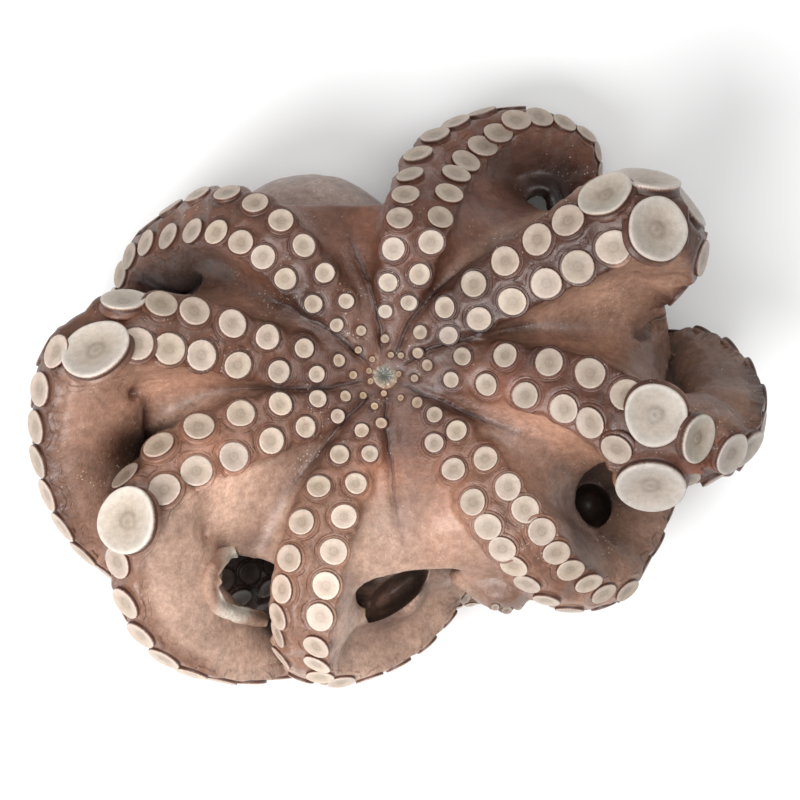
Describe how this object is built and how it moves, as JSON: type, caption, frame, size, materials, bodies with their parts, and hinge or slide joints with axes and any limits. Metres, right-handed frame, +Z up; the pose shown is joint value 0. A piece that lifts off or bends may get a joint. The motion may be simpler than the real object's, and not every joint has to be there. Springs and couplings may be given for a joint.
{
  "type": "whole octopus",
  "caption": "Whole raw octopus lying on its mantle, mouth up, arms opened round the crown and curled down, suckers outwards.",
  "frame": {"origin": "bottom centre of the bounding box, on the surface the octopus lies on", "axes": "+Z up out of the mouth side, +X along the longest extent, the mantle lies towards +Y"},
  "size_m": [0.2648, 0.2178, 0.1198],
  "materials": {
    "octopus": "wet skin"
  },
  "bodies": {
    "root": {"octopus": "octopus"}
  },
  "joints": []
}
